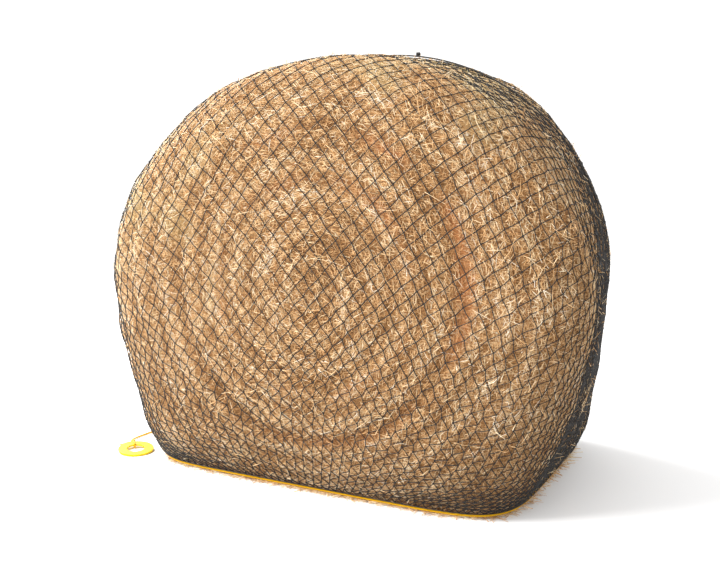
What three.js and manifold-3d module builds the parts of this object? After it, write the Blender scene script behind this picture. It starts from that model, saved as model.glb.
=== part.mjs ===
// A slow-feeder net drawn over a round hay bale that lies on its rolled side.
// Millimetres, +Z up. The origin is the middle of the bale's foot, and the roll's axis is along Y.
import * as THREE from 'three';
import { mergeVertices } from 'three/addons/utils/BufferGeometryUtils.js';
import Module from 'manifold-3d';

const wasm = await Module();
wasm.setup();

// ---- driving dimensions -------------------------------------------------------------------------

const ROLL = {
  halfWidth: 800,
  riseAboveCentre: 745,
  dropBelowCentre: 1220,
  centreHeight: 650,
  halfLength: 515,
  sunkBelowFloor: 60,
  footCorner: 14,
  endCorner: 5.6,
  rearTaper: 0.125,
  taperFullAt: 600,
  lean: 55,
  height: 1395,
};
const ROLL_SEGMENTS = 36;
const WINDING_EDGES = [0, 0.27, 0.52, 0.77, 1];
const WINDING_STEPS = [2, 2, 3, 5];
const WINDING_GAP = 0.009;
const WALL_ROWS = 4;

const NET_CLEARANCE = 5;
const NET_THICKNESS = 4;
const NET_FOOT = 22;

const CORD_RADIUS = 3.25;
const HEM_OFFSET = NET_CLEARANCE + CORD_RADIUS;
const DRAWCORD_HEIGHT = 10;
const SELVEDGE_RADIUS = 2.5;
const SELVEDGE_HEIGHT = 18;
const SELVEDGE_STEPS = 48;
const DRAWCORD_STEPS = 60;
const CORD_SIDES = 8;

const TAIL_FRONT_Y = -5;
const TAIL_REAR_Y = 145;
const DRAWCORD_END_Y = -235;
const END_GAP = 0.4;
const STOP_KNOT = { radius: 8, thin: 0.9, flat: 0.95 };

const RING = {
  x: -780,
  y: -401,
  holeRadius: 31,
  outerRadius: 63.5,
  thickness: 6.5,
  edgeRadius: 1.6,
  towardKnot: 137.5,
};
const LOOP_CLEARANCE = 1;
const LOOP_CORNER = 4;
const KNOT_RADIUS = 8.6;
const KNOT_LENGTH = 18;
const KNOT_FROM_RING = 80.5;
const FLOOR_GAP = 0.3;

// The cord that laces the net's closed end shut over the bale's top, and the knot that ends it.
const CLOSING = { y: 60, fromDegrees: 20, toDegrees: 160, points: 40, cordRadius: 2.6 };
const CLOSING_KNOT = { x: 90, radius: 8, length: 18 };
const LACING_RADIUS = 2.5;
const LACING_FROM = -0.78;
const LACING_TO = 0.88;
const LACING_POINTS = 24;
const LACING_FOOT = NET_FOOT + 40;

// Where the free end of the drawcord lies: out of the mouth's left side, round and forward
// along the floor to the knot beside the ring.
const LEAD_ROUTE = [
  [-697, TAIL_FRONT_Y - CORD_RADIUS - END_GAP, 10],
  [-698, -24, 9.4],
  [-703, -45, 7.2],
  [-713, -66, 5],
  [-728, -85, 3.8],
  [-747, -100, 3.6],
  [-768, -112, 3.6],
  [-790, -121, 3.6],
  [-812, -131, 3.6],
  [-832, -145, 3.6],
  [-847, -165, 3.6],
  [-858, -191, 3.6],
  [-865, -219, 3.6],
  [-868, -247, 3.6],
  [-870, -273, 3.8],
  [-869, -296, 4.6],
  [-864, -315, 6],
  [-856.5, -330, 7.4],
  [-846.9, -340.2, 8.3],
];

// One closed surface: shared corners are merged, and triangles that shrank to a line are dropped.
function welded(geometry) {
  geometry.deleteAttribute('normal');
  geometry.deleteAttribute('uv');
  const whole = mergeVertices(geometry, 1e-3);
  const index = whole.getIndex().array;
  const kept = [];
  for (let i = 0; i < index.length; i += 3) {
    const [a, b, c] = [index[i], index[i + 1], index[i + 2]];
    if (a !== b && b !== c && c !== a) kept.push(a, b, c);
  }
  whole.setIndex(kept);
  return whole;
}

// ---- the sagged roll ------------------------------------------------------------------------------

// How far out a point lies across the roll, 1 on its skin: an upper and a lower half ellipse,
// cut off flat a little under the floor with a rounded foot.
function across(x, drop, grow) {
  const half = drop > 0 ? ROLL.dropBelowCentre : ROLL.riseAboveCentre;
  const round = Math.hypot(x / (ROLL.halfWidth + grow), drop / (half + grow));
  const foot = Math.max(0, drop) / (ROLL.centreHeight + ROLL.sunkBelowFloor);
  return (round ** ROLL.footCorner + foot ** ROLL.footCorner) ** (1 / ROLL.footCorner);
}

// The same for a point in space, with the two end faces meeting the skin in a soft corner.
function gauge(x, y, z, grow) {
  const along = Math.abs(y) / (ROLL.halfLength + grow);
  const out = across(x, ROLL.centreHeight - z, grow);
  return (out ** ROLL.endCorner + along ** ROLL.endCorner) ** (1 / ROLL.endCorner);
}

// The bale's bulge narrows toward the rear, and its top leans a little to the right.
function settle(point) {
  const low = Math.min(1, Math.max(0, point.z / ROLL.taperFullAt));
  point.x *= 1 - ROLL.rearTaper * (point.y / ROLL.halfLength) * low;
  point.x += ROLL.lean * (point.z / ROLL.height - 0.5);
  return point;
}

// Half of the roll's length at a given fraction of its radius.
function endFace(fraction) {
  return (1 - Math.min(1, fraction) ** ROLL.endCorner) ** (1 / ROLL.endCorner);
}

// A lathe about the roll's axis, with its profile in fractions of the roll, sagged to the real section.
function rolled(profile, grow, floor) {
  const geometry = new THREE.LatheGeometry(
    profile.map(([fraction, along]) => new THREE.Vector2(fraction, along * (ROLL.halfLength + grow))),
    ROLL_SEGMENTS,
  );
  const position = geometry.getAttribute('position');
  const point = new THREE.Vector3();
  for (let i = 0; i < position.count; i += 1) {
    point.fromBufferAttribute(position, i);
    const fraction = Math.hypot(point.x, point.z);
    const angle = Math.atan2(point.z, point.x);
    const reach = fraction / across(Math.cos(angle), -Math.sin(angle), grow);
    point.x = reach * Math.cos(angle);
    point.z = ROLL.centreHeight + reach * Math.sin(angle);
    settle(point);
    point.z = Math.max(floor, point.z);
    position.setXYZ(i, point.x, point.y, point.z);
  }
  return welded(geometry);
}

// The end face and the skin between two fractions of the radius, from the inner one outward.
function endCurve(inner, outer, steps) {
  const start = Math.acos(Math.min(1, inner ** (ROLL.endCorner / 2)));
  const stop = Math.acos(Math.min(1, outer ** (ROLL.endCorner / 2)));
  const curve = [];
  for (let i = 0; i <= steps; i += 1) {
    const turn = start + ((stop - start) * i) / steps;
    const fraction = i === 0 ? inner : Math.cos(turn) ** (2 / ROLL.endCorner);
    curve.push([fraction, endFace(fraction)]);
  }
  return curve;
}

// Rows along a straight wall, front to rear without its two ends, so that its long facets stay flat.
function wall(fraction) {
  const rows = [];
  for (let i = 1; i < WALL_ROWS; i += 1) rows.push([fraction, endFace(fraction) * ((2 * i) / WALL_ROWS - 1)]);
  return rows;
}

function windingProfile(inner, outer, steps) {
  const rear = endCurve(inner, outer, steps);
  const front = rear.map(([fraction, along]) => [fraction, -along]);
  const skin = outer < 1 ? wall(outer) : [];
  const backward = rear.reverse().slice(outer < 1 ? 0 : 1);
  const bore = inner > 0 ? [...wall(inner).reverse(), front[0]] : [];
  return [...front, ...skin, ...backward, ...bore];
}

// The whole roll's profile, with the same rows as its windings, so that a skin lies parallel to them.
function skinProfile() {
  const rear = WINDING_STEPS.flatMap((steps, i) => {
    const curve = endCurve(WINDING_EDGES[i], WINDING_EDGES[i + 1], steps);
    return i === 0 ? curve : curve.slice(1);
  });
  const front = rear.map(([fraction, along]) => [fraction, -along]);
  return [...front, ...rear.reverse().slice(1)];
}

// ---- solids ---------------------------------------------------------------------------------------

function toManifold(geometry) {
  return new wasm.Manifold(new wasm.Mesh({
    numProp: 3,
    vertProperties: new Float32Array(geometry.getAttribute('position').array),
    triVerts: new Uint32Array(geometry.getIndex().array),
  }));
}

function fromManifold(solid) {
  const mesh = solid.getMesh();
  const geometry = new THREE.BufferGeometry();
  geometry.setAttribute('position', new THREE.BufferAttribute(mesh.vertProperties, 3));
  geometry.setIndex(new THREE.BufferAttribute(mesh.triVerts, 1));
  return geometry;
}

function cordSection(radius) {
  const shape = new THREE.Shape();
  shape.absarc(0, 0, radius, 0, Math.PI * 2, false);
  return new THREE.Shape(shape.getSpacedPoints(CORD_SIDES).slice(0, CORD_SIDES));
}

function cordAlong(points, radius, steps) {
  const path = new THREE.CatmullRomCurve3(points, false, 'centripetal');
  const settings = { steps, extrudePath: path, bevelEnabled: false };
  return new THREE.ExtrudeGeometry(cordSection(radius), settings);
}

// Points round the bale's foot at one height, on a skin grown outward, between two compass angles.
function footPath(height, grow, fromAngle, toAngle, count) {
  const points = [];
  for (let i = 0; i < count; i += 1) {
    const angle = fromAngle + ((toAngle - fromAngle) * i) / (count - 1);
    let near = 0;
    let far = 2 * ROLL.halfWidth;
    for (let halving = 0; halving < 40; halving += 1) {
      const middle = (near + far) / 2;
      const inside = gauge(middle * Math.cos(angle), middle * Math.sin(angle), height, 0) < 1;
      if (inside) near = middle;
      else far = middle;
    }
    const onSkin = new THREE.Vector3(near * Math.cos(angle), near * Math.sin(angle), height);
    points.push(settle(onSkin));
  }
  return points.map((point, i) => {
    const before = points[Math.max(0, i - 1)];
    const after = points[Math.min(count - 1, i + 1)];
    const out = new THREE.Vector3(after.y - before.y, before.x - after.x, 0).normalize();
    if (out.dot(point) < 0) out.negate();
    return point.clone().addScaledVector(out, grow);
  });
}

// A point on the grown skin straight above or behind the roll's axis, at an angle across it.
function skinPoint(angle, y, grow) {
  const direction = [Math.cos(angle), Math.sin(angle)];
  const along = Math.abs(y) / (ROLL.halfLength + grow);
  const fraction = (1 - along ** ROLL.endCorner) ** (1 / ROLL.endCorner);
  const reach = fraction / across(direction[0], -direction[1], grow);
  return settle(new THREE.Vector3(reach * direction[0], y, ROLL.centreHeight + reach * direction[1]));
}

// ---- materials ------------------------------------------------------------------------------------

const hay = (color) => new THREE.MeshStandardMaterial({ color, roughness: 0.95, metalness: 0 });
const blackTwine = () => new THREE.MeshStandardMaterial({ color: 0x17161a, roughness: 0.6, metalness: 0 });
const yellowCord = () => new THREE.MeshStandardMaterial({ color: 0xf2c200, roughness: 0.55, metalness: 0 });
const ringYellow = { color: 0xffe600, roughness: 0.35, metalness: 0 };
const yellowPlastic = () => new THREE.MeshStandardMaterial(ringYellow);

// ---- pieces ---------------------------------------------------------------------------------------

const assembly = new THREE.Group();

function add(name, geometry, material, parent = assembly) {
  const mesh = new THREE.Mesh(geometry, material);
  mesh.name = name;
  parent.add(mesh);
  return mesh;
}

function makeHay() {
  const names = ['hay_core', 'hay_inner_windings', 'hay_middle_windings', 'hay_outer_windings'];
  const colors = [0x9d7a4c, 0xa9855a, 0xb38f60, 0xbf9a68];
  names.forEach((name, i) => {
    const inner = WINDING_EDGES[i];
    const outer = WINDING_EDGES[i + 1] - (i < names.length - 1 ? WINDING_GAP : 0);
    add(name, rolled(windingProfile(inner, outer, WINDING_STEPS[i]), 0, 0), hay(colors[i]));
  });
}

function makeNetting() {
  const outside = toManifold(rolled(skinProfile(), NET_CLEARANCE + NET_THICKNESS, -200));
  const inside = toManifold(rolled(skinProfile(), NET_CLEARANCE, -200));
  const below = new THREE.BoxGeometry(3000, 3000, 600).translate(0, 0, NET_FOOT - 300);
  const shell = outside.subtract(inside).subtract(toManifold(welded(below)));
  add('netting', fromManifold(shell), blackTwine());
}

function makeMouth() {
  const selvedgePath = footPath(SELVEDGE_HEIGHT, HEM_OFFSET, 0, 2 * Math.PI, SELVEDGE_STEPS + 1).slice(0, -1);
  const selvedge = new THREE.CatmullRomCurve3(selvedgePath, true, 'centripetal');
  const edge = new THREE.TubeGeometry(selvedge, SELVEDGE_STEPS, SELVEDGE_RADIUS, 6, true);
  add('mouth_selvedge', welded(edge), blackTwine());

  const leftEdge = LEAD_ROUTE[0][0];
  const start = Math.atan2(TAIL_REAR_Y + 45, leftEdge);
  const stop = Math.atan2(DRAWCORD_END_Y, leftEdge);
  const round = footPath(DRAWCORD_HEIGHT, HEM_OFFSET, start, stop, 44);
  const straight = [END_GAP, 8, 16]
    .map((ahead) => new THREE.Vector3(leftEdge, TAIL_REAR_Y + ahead, DRAWCORD_HEIGHT));
  add('drawcord', cordAlong([...straight, ...round], CORD_RADIUS, DRAWCORD_STEPS), yellowCord());

  const end = round.at(-1);
  const knot = new THREE.SphereGeometry(STOP_KNOT.radius, 12, 8).scale(STOP_KNOT.thin, 1, STOP_KNOT.flat);
  const stopKnot = add('stop_knot', welded(knot), yellowCord());
  stopKnot.position.set(end.x, end.y + STOP_KNOT.radius + 2 * END_GAP, DRAWCORD_HEIGHT);

  // a round front end, so that the lead can swing about it
  const profile = [new THREE.Vector2(0, -CORD_RADIUS)];
  for (let i = 1; i <= 4; i += 1) {
    const turn = (i * Math.PI) / 8;
    profile.push(new THREE.Vector2(CORD_RADIUS * Math.sin(turn), -CORD_RADIUS * Math.cos(turn)));
  }
  const long = TAIL_REAR_Y - TAIL_FRONT_Y;
  profile.push(new THREE.Vector2(CORD_RADIUS, long), new THREE.Vector2(0, long));
  const tail = add('drawcord_tail', welded(new THREE.LatheGeometry(profile, 12)), yellowCord());
  tail.position.set(leftEdge, TAIL_FRONT_Y, DRAWCORD_HEIGHT);
}

function makeLead() {
  const points = LEAD_ROUTE.map(([x, y, z]) => new THREE.Vector3(x, y, z));
  add('drawcord_lead', cordAlong(points, CORD_RADIUS, 36), yellowCord());
}

function roundedRing() {
  const { holeRadius, outerRadius, thickness, edgeRadius } = RING;
  const half = thickness / 2;
  const section = new THREE.Shape();
  section.moveTo(holeRadius + edgeRadius, -half);
  section.lineTo(outerRadius - edgeRadius, -half);
  section.absarc(outerRadius - edgeRadius, -half + edgeRadius, edgeRadius, -Math.PI / 2, 0, false);
  section.absarc(outerRadius - edgeRadius, half - edgeRadius, edgeRadius, 0, Math.PI / 2, false);
  section.absarc(holeRadius + edgeRadius, half - edgeRadius, edgeRadius, Math.PI / 2, Math.PI, false);
  section.absarc(holeRadius + edgeRadius, -half + edgeRadius, edgeRadius, Math.PI, Math.PI * 1.5, false);
  const points = section.getPoints(4);
  const clean = points.filter((p, i) => i === 0 || p.distanceTo(points[i - 1]) > 1e-4);
  if (clean[0].distanceTo(clean.at(-1)) > 1e-4) clean.push(clean[0].clone());
  else clean[clean.length - 1] = clean[0].clone();
  return welded(new THREE.LatheGeometry(clean, 72));
}

// The cord's loop round the ring's band, in the ring's own frame with the knot along +X.
function loopCurve() {
  const inner = RING.holeRadius - LOOP_CLEARANCE - CORD_RADIUS;
  const outer = RING.outerRadius + LOOP_CLEARANCE + CORD_RADIUS;
  const half = RING.thickness / 2 + LOOP_CLEARANCE + CORD_RADIUS;
  const corners = [[outer, half, 0], [inner, half, 1], [inner, -half, 2], [outer, -half, 3]];
  const points = [];
  corners.forEach(([x, z, quarter]) => {
    const centreX = x + (x === inner ? LOOP_CORNER : -LOOP_CORNER);
    const centreZ = z + (z > 0 ? -LOOP_CORNER : LOOP_CORNER);
    for (let i = 0; i <= 3; i += 1) {
      const turn = (quarter + i / 3) * (Math.PI / 2);
      const [out, up] = [Math.cos(turn), Math.sin(turn)].map((part) => part * LOOP_CORNER);
      points.push(new THREE.Vector3(centreX + out, 0, centreZ + up));
    }
  });
  return new THREE.CatmullRomCurve3(points, true, 'centripetal');
}

function makeRing() {
  const half = RING.thickness / 2;
  const loopHalf = half + LOOP_CLEARANCE + 2 * CORD_RADIUS;
  const loopInner = RING.holeRadius - LOOP_CLEARANCE - CORD_RADIUS;
  // the ring leans on its loop: its far edge and the loop's foot both touch the floor
  const tilt = Math.atan((loopHalf - half) / (loopInner + RING.outerRadius));
  const height = FLOOR_GAP + RING.outerRadius * Math.sin(tilt) + half * Math.cos(tilt);

  const spot = new THREE.Group();
  spot.position.set(RING.x, RING.y, 0);
  spot.rotation.z = THREE.MathUtils.degToRad(RING.towardKnot);
  assembly.add(spot);

  const leaning = new THREE.Group();
  leaning.position.z = height;
  leaning.rotation.y = -tilt;
  spot.add(leaning);

  const ring = add('cinch_ring', roundedRing(), yellowPlastic(), leaning);
  ring.rotation.x = Math.PI / 2;
  const loop = new THREE.TubeGeometry(loopCurve(), 28, CORD_RADIUS, CORD_SIDES, true);
  add('ring_loop', welded(loop), yellowCord(), leaning);

  const knot = add('ring_knot', barrel(KNOT_RADIUS, KNOT_LENGTH), yellowCord(), spot);
  knot.position.set(KNOT_FROM_RING, 0, KNOT_RADIUS + FLOOR_GAP);

  const start = KNOT_LENGTH / 2 + END_GAP;
  const tailPoints = [[0, 0], [9, -0.9], [19, -3.2], [29, -4.9], [38, -5.1]]
    .map(([out, drop]) => new THREE.Vector3(KNOT_FROM_RING, start + out, KNOT_RADIUS + FLOOR_GAP + drop));
  add('knot_tail', cordAlong(tailPoints, CORD_RADIUS, 10), yellowCord(), spot);
}

// A barrel knot lying along Y.
function barrel(radius, length) {
  const half = [[0, 0.5], [0.55, 0.5], [0.85, 0.42], [1, 0.2]];
  const profile = [...half.map(([out, along]) => [out, -along]), ...half.reverse()];
  const points = profile.map(([out, along]) => new THREE.Vector2(out * radius, along * length));
  return welded(new THREE.LatheGeometry(points, 14));
}

function makeClosedEnd() {
  const onNet = NET_CLEARANCE + NET_THICKNESS;
  const grow = onNet + CLOSING.cordRadius + 2;
  const points = [];
  for (let i = 0; i <= CLOSING.points; i += 1) {
    const degrees = CLOSING.fromDegrees + ((CLOSING.toDegrees - CLOSING.fromDegrees) * i) / CLOSING.points;
    points.push(skinPoint(THREE.MathUtils.degToRad(degrees), CLOSING.y, grow));
  }
  add('closing_cord', cordAlong(points, CLOSING.cordRadius, CLOSING.points * 2), blackTwine());

  const angle = Math.atan2(ROLL.riseAboveCentre, CLOSING_KNOT.x);
  const y = CLOSING.y + CLOSING.cordRadius + CLOSING_KNOT.radius + END_GAP;
  const left = skinPoint(angle + 0.05, y, onNet);
  const aside = skinPoint(angle - 0.05, y, onNet).sub(left).normalize();
  const out = new THREE.Vector3(-aside.z, 0, aside.x);
  const seat = new THREE.Group();
  seat.quaternion.setFromRotationMatrix(new THREE.Matrix4().makeBasis(aside, new THREE.Vector3(0, 1, 0), out));
  seat.position.copy(skinPoint(angle, y, onNet)).addScaledVector(out, CLOSING_KNOT.radius + 2);
  assembly.add(seat);
  const knot = add('closing_knot', barrel(CLOSING_KNOT.radius, CLOSING_KNOT.length), blackTwine(), seat);
  knot.rotation.z = Math.PI / 2;
}

function makeLacing() {
  const grow = NET_CLEARANCE + NET_THICKNESS + LACING_RADIUS + 2;
  const points = [];
  for (let i = 0; i <= LACING_POINTS; i += 1) {
    const fraction = LACING_FROM + ((LACING_TO - LACING_FROM) * i) / LACING_POINTS;
    const reach = Math.abs(fraction) / across(0, fraction < 0 ? 1 : -1, grow);
    const z = ROLL.centreHeight + Math.sign(fraction) * reach;
    const y = (ROLL.halfLength + grow) * endFace(Math.abs(fraction));
    if (z > LACING_FOOT) points.push(settle(new THREE.Vector3(0, y, z)));
  }
  add('seam_lacing', cordAlong(points, LACING_RADIUS, 26), blackTwine());
}

makeHay();
makeNetting();
makeMouth();
makeLead();
makeRing();
makeClosedEnd();
makeLacing();

export default assembly;
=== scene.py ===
"""A slow-feeder net over a round hay bale: hay, knotted netting, drawcord and pull ring.

Laid out as an add-on with one operator per piece or group of pieces. Everything is in metres, in the
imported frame: the bale stands on z = 0 with its roll's axis along Y.
"""
import math

import bmesh
import bpy
import numpy as np
from bpy.props import FloatProperty, FloatVectorProperty, IntProperty, PointerProperty
from mathutils import Matrix, Vector, kdtree, noise


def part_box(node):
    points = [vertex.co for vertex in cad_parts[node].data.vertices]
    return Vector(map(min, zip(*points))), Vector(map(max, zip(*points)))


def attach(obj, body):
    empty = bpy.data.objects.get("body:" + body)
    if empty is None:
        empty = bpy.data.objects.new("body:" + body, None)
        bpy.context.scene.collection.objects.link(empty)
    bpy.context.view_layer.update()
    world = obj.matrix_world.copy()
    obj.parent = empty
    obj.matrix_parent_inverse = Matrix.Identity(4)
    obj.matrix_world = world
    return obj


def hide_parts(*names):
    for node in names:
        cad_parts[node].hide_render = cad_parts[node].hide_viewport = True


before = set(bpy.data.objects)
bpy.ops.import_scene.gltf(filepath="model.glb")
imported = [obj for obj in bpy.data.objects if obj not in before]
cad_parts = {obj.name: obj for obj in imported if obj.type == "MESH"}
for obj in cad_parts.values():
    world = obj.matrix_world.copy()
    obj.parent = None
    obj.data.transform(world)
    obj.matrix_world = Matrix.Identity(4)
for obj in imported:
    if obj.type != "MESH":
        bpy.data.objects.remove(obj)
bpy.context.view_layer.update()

bl_info = {
    "name": "Hay Net Maker",
    "version": (1, 0, 0),
    "blender": (4, 5, 0),
    "location": "View3D > Sidebar > Hay Net",
    "description": "Makes a round bale of hay in its slow-feeder net, with drawcord and pull ring",
    "category": "Add Mesh",
}

BALE = "bale_and_net"

# ---- the sagged roll, the same skin as the solid bale ------------------------------------------------

HALF_WIDTH = 0.800
RISE = 0.745
DROP = 1.220
CENTRE_HEIGHT = 0.650
HALF_LENGTH = 0.515
SUNK = 0.060
FOOT_CORNER = 14
END_CORNER = 5.6
REAR_TAPER = 0.125
TAPER_FULL_AT = 0.600
LEAN = 0.055
HEIGHT = 1.395

HEM_GROW = 0.00825
DRAWCORD_HEIGHT = 0.010
SELVEDGE_HEIGHT = 0.018
CORD_DIAMETER = 0.0065
TAIL_FRONT_Y = -0.005
TAIL_REAR_Y = 0.145
DRAWCORD_END_Y = -0.235
LEFT_HEM_X = -0.697

LEAD_ROUTE = [
    (-0.697, -0.00865, 0.010),
    (-0.698, -0.024, 0.0094),
    (-0.703, -0.045, 0.0072),
    (-0.713, -0.066, 0.005),
    (-0.728, -0.085, 0.0038),
    (-0.747, -0.1, 0.0036),
    (-0.768, -0.112, 0.0036),
    (-0.79, -0.121, 0.0036),
    (-0.812, -0.131, 0.0036),
    (-0.832, -0.145, 0.0036),
    (-0.847, -0.165, 0.0036),
    (-0.858, -0.191, 0.0036),
    (-0.865, -0.219, 0.0036),
    (-0.868, -0.247, 0.0036),
    (-0.87, -0.273, 0.0038),
    (-0.869, -0.296, 0.0046),
    (-0.864, -0.315, 0.006),
    (-0.8565, -0.33, 0.0074),
    (-0.8469, -0.3402, 0.0083),
]
LEAD_LENGTH = 0.416

RING_SPOT = (-0.780, -0.401)
RING_HOLE = 0.031
RING_OUTER = 0.0635
RING_THICK = 0.0065
TOWARD_KNOT = math.radians(137.5)
LOOP_CLEAR = 0.001
KNOT_AWAY = 0.0805
KNOT_HEIGHT = 0.0089
FLOOR_GAP = 0.0003

rng = np.random.default_rng(20)


def across(x, drop, grow=0.0):
    """How far out a point lies across the roll, 1 on its skin."""
    half = np.where(drop > 0, DROP, RISE) + grow
    round_ = np.hypot(x / (HALF_WIDTH + grow), drop / half)
    foot = np.maximum(0, drop) / (CENTRE_HEIGHT + SUNK)
    return (round_**FOOT_CORNER + foot**FOOT_CORNER) ** (1 / FOOT_CORNER)


def gauge(d, grow=0.0):
    """1 on the unsettled skin, for vectors from the roll's middle."""
    along = np.abs(d[..., 1]) / (HALF_LENGTH + grow)
    out = across(d[..., 0], -d[..., 2], grow)
    return (out**END_CORNER + along**END_CORNER) ** (1 / END_CORNER)


def taper_at(y, z):
    return 1 - REAR_TAPER * (y / HALF_LENGTH) * np.clip(z / TAPER_FULL_AT, 0, 1)


def skin(directions, grow=0.0):
    """Points where the directions from the roll's middle meet its settled skin, grown outward."""
    p = directions / gauge(directions, grow)[..., None]
    p[..., 2] += CENTRE_HEIGHT
    p[..., 0] = p[..., 0] * taper_at(p[..., 1], p[..., 2]) + LEAN * (p[..., 2] / HEIGHT - 0.5)
    return p


def unsettled(points):
    """Vectors from the roll's middle to points, with the taper and the lean taken out."""
    d = points.copy()
    d[..., 0] = (d[..., 0] - LEAN * (d[..., 2] / HEIGHT - 0.5)) / taper_at(d[..., 1], d[..., 2])
    d[..., 2] -= CENTRE_HEIGHT
    return d


def onto_skin(points, grow=0.0):
    return skin(unsettled(points), grow)


def foot_path(height, grow, start, stop, count):
    """Points round the bale's foot at one height, between two angles, set off outward."""
    angle = np.linspace(start, stop, count)
    way = np.stack([np.cos(angle), np.sin(angle)], -1)
    near, far = np.zeros(count), np.full(count, 2 * HALF_WIDTH)
    level = np.full(count, height - CENTRE_HEIGHT)
    for _ in range(40):
        middle = (near + far) / 2
        inside = gauge(np.stack([way[:, 0] * middle, way[:, 1] * middle, level], -1)) < 1
        near, far = np.where(inside, middle, near), np.where(inside, far, middle)
    p = np.stack([way[:, 0] * near, way[:, 1] * near, np.full(count, height)], -1)
    p[:, 0] = p[:, 0] * taper_at(p[:, 1], p[:, 2]) + LEAN * (height / HEIGHT - 0.5)
    before = p[np.maximum(0, np.arange(count) - 1)]
    after = p[np.minimum(count - 1, np.arange(count) + 1)]
    out = np.stack([after[:, 1] - before[:, 1], before[:, 0] - after[:, 0]], -1)
    out /= np.linalg.norm(out, axis=1)[:, None]
    out *= np.sign((out * p[:, :2]).sum(1))[:, None]
    p[:, :2] += out * grow
    return p


# The winding stays round in the middle, and follows the sagged skin only near it.
WOUND_X, WOUND_Z = 0.02, 0.03
WOUND_HALF = (0.80, 0.89)
DARK_RING = 0.56


def on_roll(points):
    """Where points lie on the roll: out from its axis, round it, and how much on an end face."""
    d = unsettled(points)
    skinward = across(d[..., 0], -d[..., 2])
    x, z = (d[..., 0] - WOUND_X) / WOUND_HALF[0], (d[..., 2] - WOUND_Z) / WOUND_HALF[1]
    near_skin = np.clip((skinward - 0.65) / 0.3, 0, 1)
    reach = (1 - near_skin) * np.hypot(x, z) + near_skin * skinward
    on_end = np.clip((np.abs(d[..., 1]) / HALF_LENGTH - 0.78) / 0.16, 0, 1)
    return reach, np.arctan2(z, x), on_end


def winding(points):
    """The hay's wound layers as a wave, -1 to 1, that wanders like a layer of hay does."""
    reach, angle, _ = on_roll(points)
    wander = 0.35 * np.sin(3 * angle + 1.0 + 5 * reach) + 0.25 * np.sin(8 * angle - 9 * reach)
    coarse = np.sin(2 * math.pi * (reach * 9 + angle / (2 * math.pi)) + wander)
    fine = np.sin(2 * math.pi * (reach * 23 + angle / math.pi) + 2 * wander)
    return 0.6 * coarse + 0.4 * fine


def relief(points):
    """The hay's own lumps and wound ridges, in metres outward from the even skin."""
    reach, angle, on_end = on_roll(points)
    x, y, z = points[..., 0], points[..., 1], points[..., 2]
    ridges = 0.0028 * winding(points)
    groove = -0.006 * np.exp(-(((reach - DARK_RING) / 0.02) ** 2)) - 0.008 * np.exp(-(((reach - 0.06) / 0.05) ** 2))
    bands = 0.0035 * np.sin(2 * math.pi * (y * 5.2 + 0.3 * np.sin(4 * angle)))
    lumps = 0.006 * np.sin(9.1 * x + 1.3) * np.sin(8.3 * y - 0.7) * np.sin(7.7 * z + 2.1)
    small = 0.0035 * np.sin(31 * x + 2) * np.sin(27 * y) * np.sin(29 * z + 1)
    return (ridges + groove) * on_end + bands * (1 - on_end) + lumps + small


# ---- colours and nodes --------------------------------------------------------------------------------


def linear(hex_colour):
    """sRGB hex to the linear colour that shaders take."""
    parts = [int(hex_colour[i : i + 2], 16) / 255 for i in (1, 3, 5)]
    return [c / 12.92 if c <= 0.04045 else ((c + 0.055) / 1.055) ** 2.4 for c in parts]


def node(tree, kind, links=None, **settings):
    """Adds one node, sets its fields or sockets, and links sockets to others."""
    made = tree.nodes.new(kind)
    for name, value in settings.items():
        if hasattr(made, name):
            setattr(made, name, value)
        else:
            made.inputs[name.replace("_", " ").title()].default_value = value
    for name, source in (links or {}).items():
        tree.links.new(source, made.inputs[name])
    return made


def new_material(name):
    material = bpy.data.materials.new(name)
    material.use_nodes = True
    tree = material.node_tree
    return material, tree, tree.nodes["Principled BSDF"]


def ramp(tree, factor, stops):
    """A colour ramp on a factor, from (place, colour) pairs."""
    made = tree.nodes.new("ShaderNodeValToRGB")
    tree.links.new(factor, made.inputs["Fac"])
    band = made.color_ramp
    while len(band.elements) < len(stops):
        band.elements.new(0.5)
    for element, (place, colour) in zip(band.elements, stops):
        element.position = place
        element.color = (*colour, 1)
    return made.outputs["Color"]


def mixed(tree, factor, a, b, blend="MIX"):
    made = tree.nodes.new("ShaderNodeMix")
    made.data_type = "RGBA"
    made.blend_type = blend
    for socket, value in ((0, factor), (6, a), (7, b)):
        if isinstance(value, (float, int)):
            made.inputs[socket].default_value = value
        elif isinstance(value, bpy.types.NodeSocket):
            tree.links.new(value, made.inputs[socket])
        else:
            made.inputs[socket].default_value = (*value, 1)
    return made.outputs[2]


def math_node(tree, operation, a, b=None):
    made = tree.nodes.new("ShaderNodeMath")
    made.operation = operation
    for socket, value in ((0, a), (1, b)):
        if value is None:
            continue
        if isinstance(value, (float, int)):
            made.inputs[socket].default_value = value
        else:
            tree.links.new(value, made.inputs[socket])
    return made.outputs[0]


FIBRE_TURNS = ((10, 35, 20), (80, 15, 65), (35, 75, 120), (60, 120, 10), (120, 60, 80))


def fibres(tree, where):
    """Stalks lying across each other at many slants, painted lighter where one lies on top, with painted shade in
    the gaps between them: about -0.3 to 0.3.
    """
    highest = None
    for turn in FIBRE_TURNS:
        slant = node(tree, "ShaderNodeMapping", {"Vector": where})
        slant.inputs["Rotation"].default_value = [math.radians(a) for a in turn]
        slant.inputs["Scale"].default_value = (45, 45, 560)
        grain = node(tree, "ShaderNodeTexNoise", {"Vector": slant.outputs["Vector"]})
        grain.inputs["Scale"].default_value = 1.0
        grain.inputs["Detail"].default_value = 1.5
        value = grain.outputs["Fac"]
        highest = value if highest is None else math_node(tree, "MAXIMUM", highest, value)
    steep = math_node(tree, "MULTIPLY", math_node(tree, "SUBTRACT", highest, 0.64), 3.4)
    return math_node(tree, "MINIMUM", math_node(tree, "MAXIMUM", steep, -0.4), 0.4)


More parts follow.
